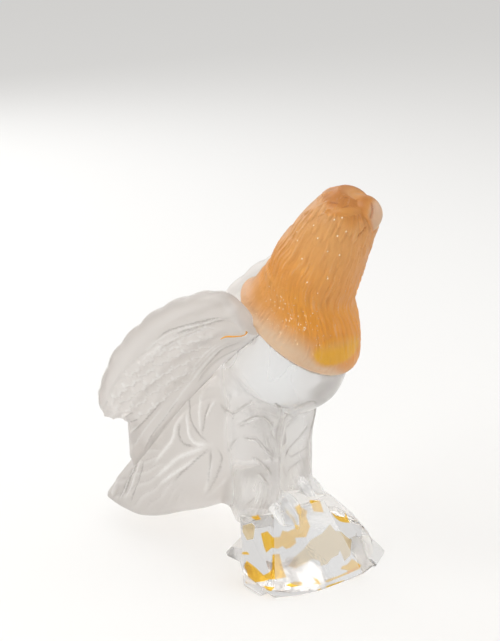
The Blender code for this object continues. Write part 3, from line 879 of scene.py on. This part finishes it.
def join(thing, other):
    bm = bmesh.new()
    bm.from_mesh(thing.data)
    bm.from_mesh(other.data)
    bm.to_mesh(thing.data)
    bm.free()
    bpy.data.objects.remove(other)


def spread(mesh, values, rounds):  # values shared out between neighbouring points of the mesh
    ends = np.empty(len(mesh.edges) * 2, np.int32)
    mesh.edges.foreach_get("vertices", ends)
    a, b = ends.reshape(-1, 2).T
    count = len(values)
    shares = np.bincount(a, minlength=count) + np.bincount(b, minlength=count) + 1
    for _ in range(rounds):
        values = (values + np.bincount(a, values[b], count) + np.bincount(b, values[a], count)) / shares
    return values


def skinTree(thing):
    return bvhtree.BVHTree.FromObject(thing, bpy.context.evaluated_depsgraph_get())


def creaseShares(thing, lines):  # height, painted shade line and painted highlight of lines laid over the skin, on both its sides
    tree = skinTree(thing)
    places = meshPoints(thing.data) / mm
    shares = blankShares(len(places))
    for rise, width, spots in lines:
        path = curveAt(spots, evenly(5 * len(spots) - 4)) + (0, 0, feetHeight)
        for side in (1, -1):
            laid = np.array([tree.find_nearest(Vector(spot) * mm)[0] for spot in path * (side, 1, 1)]) / mm
            for _ in range(castings["creaseRounds"]):
                laid[1:-1] = (laid[:-2] + laid[1:-1] + laid[2:]) / 3
            near = np.all((places > laid.min(axis=0) - 4) & (places < laid.max(axis=0) + 4), axis=1)
            away, run, length = nearPath(places[near][:, None], laid)
            addStroke(shares, rise, width, (away[:, 0], run[:, 0], length), near, castings["creaseEnds"],
                      castings["creaseNarrow"], min(1, abs(rise)))
    return shares


def fused(name, forms, grid, faces, core=None, lines=()):  # one carved skin over overlapping forms
    thing = linked(name, meshFromForms(name, forms))
    if core:
        join(thing, core)
    addVoxels(thing, grid * mm, castings["smoothing"])
    applied(thing)
    mesh = thing.data
    places = meshPoints(mesh)
    normals = np.empty(len(mesh.vertices) * 3, np.float32)
    mesh.vertex_normals.foreach_get("vector", normals)
    height, = nearestShares(forms, places, ["height"])
    height = spread(mesh, height, 1) + creaseShares(thing, lines)[0]
    places += normals.reshape(-1, 3) * (height * mm)[:, None]
    mesh.vertices.foreach_set("co", places.astype(np.float32).ravel())
    mesh.update()
    thin = thing.modifiers.new("thin", "DECIMATE")
    thin.ratio = min(1.0, faces / (2 * len(mesh.polygons)))
    thin.use_collapse_triangulate = True
    applied(thing)
    print(name, len(thing.data.polygons), "faces")
    return thing


def combine(thing, other, operation):
    change = thing.modifiers.new(operation.lower(), "BOOLEAN")
    change.operation = operation
    change.solver = "MANIFOLD"
    change.object = other
    applied(thing)
    bpy.data.objects.remove(other)


def polishedRock():
    bm = bmesh.new()
    for corner in rockShape["corners"]:
        bm.verts.new(rockPlace(*corner))
    bmesh.ops.convex_hull(bm, input=bm.verts)
    bmesh.ops.dissolve_limit(bm, angle_limit=math.radians(4), verts=bm.verts, edges=bm.edges)
    bmesh.ops.recalc_face_normals(bm, faces=bm.faces)
    rock = linked("rock", meshFromBmesh("rock", bm))
    bevel = rock.modifiers.new("round", "BEVEL")
    bevel.width = rockShape["rounding"] * mm
    bevel.segments = 4
    return applied(rock)


def roughShelf():
    s = rockShape
    rings = []
    for grow, up in s["shelfRings"]:
        rings.append([rockPlace(x * grow, y * grow, 0) + Vector((0, 0, share * s["shelfHeight"] * up * mm))
                      for x, y, share in s["shelf"]])
    count = len(s["shelf"])
    faces = []
    for low in (0, count):
        faces += [(low + k, low + (k + 1) % count, low + count + (k + 1) % count, low + count + k)
                  for k in range(count)]
    faces += [tuple(reversed(range(count))), tuple(range(2 * count, 3 * count))]
    mesh = bpy.data.meshes.new("shelf")
    mesh.from_pydata([tuple(point) for ring in rings for point in ring], [], faces)
    bm = bmesh.new()
    bm.from_mesh(mesh)
    bmesh.ops.recalc_face_normals(bm, faces=bm.faces)
    bm.to_mesh(mesh)
    bm.free()
    return linked("shelf", mesh)


# Finishes

def addNode(tree, kind, inputs=None, **settings):  # an input is a value or another node's output
    node = tree.nodes.new(kind)
    for key, value in settings.items():
        setattr(node, key, value)
    for key, value in (inputs or {}).items():
        if isinstance(value, bpy.types.NodeSocket):
            tree.links.new(value, node.inputs[key])
        else:
            node.inputs[key].default_value = value
    return node


def speckle(tree, scale, detail):
    place = addNode(tree, "ShaderNodeTexCoord").outputs["Object"]
    noise = addNode(tree, "ShaderNodeTexNoise", {"Vector": place, "Scale": scale, "Detail": detail})
    return noise.outputs["Fac"]


def newFinish(name, colour, roughness, transmission, ior=1.52):
    material = bpy.data.materials.new(name)
    material.use_nodes = True
    tree = material.node_tree
    shader = tree.nodes["Principled BSDF"]
    shader.inputs["Base Color"].default_value = (*colour, 1)
    shader.inputs["Roughness"].default_value = roughness
    shader.inputs["Transmission Weight"].default_value = transmission
    shader.inputs["IOR"].default_value = ior
    return material, tree, shader


def grain(tree, shader, scale, distance, detail=3.0):  # fine frost
    relief = speckle(tree, scale, detail)
    bump = addNode(tree, "ShaderNodeBump", {"Strength": 0.6, "Distance": distance, "Height": relief})
    tree.links.new(bump.outputs["Normal"], shader.inputs["Normal"])


def meshShare(tree, name):
    return addNode(tree, "ShaderNodeAttribute", attribute_name=name).outputs["Fac"]


def mixed(tree, first, second, share):
    mix = addNode(tree, "ShaderNodeMix", {"A": first, "B": second, "Factor": share}, data_type="RGBA")
    return mix.outputs["Result"]


def tintedFinish(name, look):  # tinted in turn where the mesh's share of each tint is high
    material, tree, shader = newFinish(name, look["base"], look["roughness"], look["transmission"])
    grain(tree, shader, 420, 0.00012)
    colour = (*look["clear"], 1)
    for share, tint in look["tints"].items():
        colour = mixed(tree, colour, (*tint, 1), meshShare(tree, share))
    tree.links.new(colour, shader.inputs["Base Color"])
    return material, tree, shader


# after frost, the tints are painted shade, painted highlight and painted shade line
carvedLook = {
    "base": (0.8, 0.765, 0.735),
    "clear": (0.84, 0.85, 0.86),
    "tints": {"frost": (0.8, 0.765, 0.735), "shade": (0.66, 0.625, 0.595), "light": (1.0, 0.99, 0.97),
              "line": (0.32, 0.295, 0.275)},
    "transmission": 0.72,
    "roughness": 0.3,
    "ends": (0.06, 0.4),   # roughness where polished and where frosted
}


def carvedFinish():
    material, tree, shader = tintedFinish("carvedCrystal", carvedLook)
    low, high = carvedLook["ends"]
    span = {"Value": meshShare(tree, "frost"), "To Min": low, "To Max": high}
    rough = addNode(tree, "ShaderNodeMapRange", span)
    tree.links.new(rough.outputs["Result"], shader.inputs["Roughness"])
    return material


plainLooks = {   # colour, roughness, transmission, refraction; grain: scale, depth, detail
    "polishedCrystal": ((0.95, 0.945, 0.94), 0.03, 1.0, 1.22, 60, 0.0002, 1.0),
    "brokenCrystal": ((0.9, 0.88, 0.85), 0.28, 0.9, 1.52, 180, 0.001, 6.0),
    "amberThreadGlass": ((1.0, 0.48, 0.04), 0.12, 0.3, 1.52, 300, 0.00008, 3.0),
    # pale opaque beads: bubbles and, where bigger, painted glints
    "speckGlass": ((1.0, 0.8, 0.56), 0.2, 0.0, 1.52, 500, 0.00005, 3.0),
}


def plainFinish(name):
    colour, roughness, transmission, refraction, scale, depth, detail = plainLooks[name]
    material, tree, shader = newFinish(name, colour, roughness, transmission, refraction)
    grain(tree, shader, scale, depth, detail)
    return material


# the glow tint is a painted pool of light, the light and line tints painted highlights and painted shade
# lines
amberLook = {
    "base": (0.87, 0.47, 0.15),
    "clear": (0.87, 0.47, 0.15),
    "tints": {"deep": (0.98, 0.425, 0.03), "burnt": (0.74, 0.3, 0.05), "glow": (1.0, 0.59, 0.03),
              "cream": (0.94, 0.8, 0.63), "light": (1.0, 0.66, 0.36), "line": (0.5, 0.17, 0.03)},
    "transmission": 0.6,
    "roughness": 0.38,
}


# tints of the painted reflections in the rock
veilLook = {   # colour, roughness
    "amber": ((1.0, 0.43, 0.008), 0.03),
    "cream": ((0.71, 0.52, 0.25), 0.45),
    "transmission": 0.75,
    "mottle": 90,
    "mottleLift": 1.12,
}


def veilFinish(key):  # a painted reflection of the amber neck: bends no light, only tints what is seen through it
    colour, roughness = veilLook[key]
    material, tree, shader = newFinish(key + "Veil", colour, roughness, veilLook["transmission"], 1.0)
    lifted = (min(1.0, part * veilLook["mottleLift"]) for part in colour)
    tone = mixed(tree, (*colour, 1), (*lifted, 1), speckle(tree, veilLook["mottle"], 3.0))
    tree.links.new(tone, shader.inputs["Base Color"])
    return material


# Assembly

def setShares(thing, forms, keys, lines=()):
    mesh = thing.data
    _, line, light = creaseShares(thing, lines)
    for key, values in zip(keys, nearestShares(forms, meshPoints(mesh), keys)):
        if key in ("frost", "shade"):
            values = spread(mesh, values, castings["frostRounds"])
        elif key in ("line", "light"):
            values = np.maximum(values, line if key == "line" else light)
        attribute = mesh.attributes.new(key, "FLOAT", "POINT")
        attribute.data.foreach_set("value", values.astype(np.float32))


def settle(piece, node=None):
    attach(piece, "root")
    if node:
        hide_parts(node)


def buildBody():
    wing = wingForm()
    leg = legForm()
    middle = [trunkForm(), tailForm()]
    pair = [leg, wing] + [toeForm(toe) for toe in toeShape["toes"]]
    forms = middle + pair + [otherSide(form) for form in pair]
    core = filledCore(middle + [leg, otherSide(leg)])
    body = fused("crystalBody", forms, castings["bodyGrid"], castings["bodyFaces"], core, creases)
    seatForm = makeForm(ovalGrid(neckStations(neckShape["height"] + 2 * neckShape["seatGap"]), 60, 160))
    seat = linked("seat", meshFromForms("seat", [seatForm]))
    lean = math.radians(neckShape["stations"][0][4])
    seat.location = Vector((0, math.sin(lean), -math.cos(lean))) * neckShape["seatGap"] * mm
    combine(body, seat, "DIFFERENCE")
    rock = polishedRock()
    shelf = roughShelf()
    rockTree = skinTree(rock)
    shelfTree = skinTree(shelf)
    combine(body, rock, "UNION")
    combine(body, shelf, "UNION")
    mesh = body.data
    mesh.materials.clear()
    for finish in (carvedFinish(), plainFinish("polishedCrystal"), plainFinish("brokenCrystal")):
        mesh.materials.append(finish)
    slots = np.zeros(len(mesh.polygons), int)
    near = rockShape["near"] * mm
    for face in mesh.polygons:
        if face.center.z < rockShape["reach"] * mm:
            if rockTree.find_nearest(face.center)[3] < near:
                slots[face.index] = 1
            elif shelfTree.find_nearest(face.center)[3] < near:
                slots[face.index] = 2
    mesh.polygons.foreach_set("material_index", slots)
    setShares(body, forms, ["frost", "shade", "line", "light"], creases)
    mesh.shade_smooth()
    mesh.set_sharp_from_angle(angle=math.radians(castings["sharpAngle"]))
    body.visible_shadow = False   # light passes through the crystal
    settle(body, "eagle_body")
    print("body", len(mesh.polygons), "faces")
    buildThread(skinTree(body), wing)


def buildThread(bodyTree, wing):  # thin amber thread round each shoulder of the wings
    s = threadShape
    path = pathOn(wing["grid"], thousandths(s["spots"], 0.5))
    radii = np.interp(evenly(len(path)), evenly(len(s["radii"])), s["radii"])
    stations = []
    for spot, radius in zip(path, radii):
        found = bodyTree.find_nearest(Vector(ownPlace(spot)))
        inside = found[0] / mm - found[1] * radius * s["sunk"]
        stations.append((*inside.xyz, radius, radius))
    rows = np.array(stations)
    rows[:, 2] -= feetHeight
    strand = makeForm(ovalGrid(rows, 120, s["sides"]))
    thread = linked("amberThread", meshFromForms("amberThread", [strand, otherSide(strand)]))
    thread.data.materials.append(plainFinish("amberThreadGlass"))
    thread.data.shade_smooth()
    settle(thread)


def buildVeils():  # painted reflections of the amber neck: flat tinted layers sealed behind the rock's polished faces
    points, faces, slots = [], [], []
    for veils in (frontVeils, sideVeils, innerVeils):
        normal = Vector(veils["normal"]).normalized()
        across = Vector((0, 0, 1)).cross(normal).normalized()
        up = normal.cross(across)
        for slot, key in enumerate(("amber", "cream")):
            for outline in veils[key]:
                start = len(points)
                points += [(Vector(veils["middle"]) + across * a + up * b) * mm for a, b in outline]
                faces.append(tuple(range(start, len(points))))
                slots.append(slot)
    mesh = bpy.data.meshes.new("rockVeils")
    mesh.from_pydata([tuple(point) for point in points], [], faces)
    mesh.materials.append(veilFinish("amber"))
    mesh.materials.append(veilFinish("cream"))
    mesh.polygons.foreach_set("material_index", slots)
    settle(linked("rockVeils", mesh))


def buildNeck():
    forms = neckForms()
    neck = fused("amberNeck", forms, castings["neckGrid"], castings["neckFaces"])
    neck.data.materials.append(tintedFinish("amberCrystal", amberLook)[0])
    setShares(neck, forms, ["line", "light", "deep", "burnt", "glow", "cream"])
    neck.data.shade_smooth()
    settle(neck, "eagle_neck")
    buildSpecks(skinTree(neck), forms[0]["grid"])


def buildSpecks(neckTree, grid):  # tiny bubbles that break the amber's surface; the bright ones are bigger pale beads, painted glints
    s = speckShape
    chance = np.random.default_rng(41)
    bright = thousandths([*s["bright"], *[(a, 500 - b) for a, b in s["bright"]]])
    spots = [(a, b, s["brightSize"]) for a, b in bright]
    middle = np.array(s["clusterMiddle"])
    for a, b in middle + chance.normal(size=(s["clusterCount"], 2)) * s["clusterSpread"]:
        spots.append((a, b, 0.5 + 0.5 * chance.random()))
    for a, b in chance.random((s["strayCount"], 2)):
        spots.append((0.12 + 0.75 * a, b, 0.5 + 0.5 * chance.random()))
    bm = bmesh.new()
    for a, b, scale in spots:
        spot, ahead = pathOn(grid, ((a, b), (min(a + 0.01, 1), b)), 1)
        found = neckTree.find_nearest(Vector(ownPlace(spot)))
        radius = s["size"] * scale * mm
        bead = bmesh.ops.create_icosphere(bm, subdivisions=1, radius=radius)
        turn = Vector(ahead - spot).to_track_quat("Z", "X").to_matrix()
        for vert in bead["verts"]:
            vert.co.z *= 1.5
            vert.co = turn @ vert.co + found[0] - found[1] * radius * s["sunk"]
    mesh = meshFromBmesh("amberSpecks", bm)
    mesh.materials.append(plainFinish("speckGlass"))
    mesh.shade_smooth()
    settle(linked("amberSpecks", mesh))


bpy.context.scene.view_settings.view_transform = "Standard"
buildCamera()
buildLamps()
buildWorld()
buildFloor()
print("studio ready")
buildBody()
buildVeils()
print("body ready")
buildNeck()
print("neck ready")
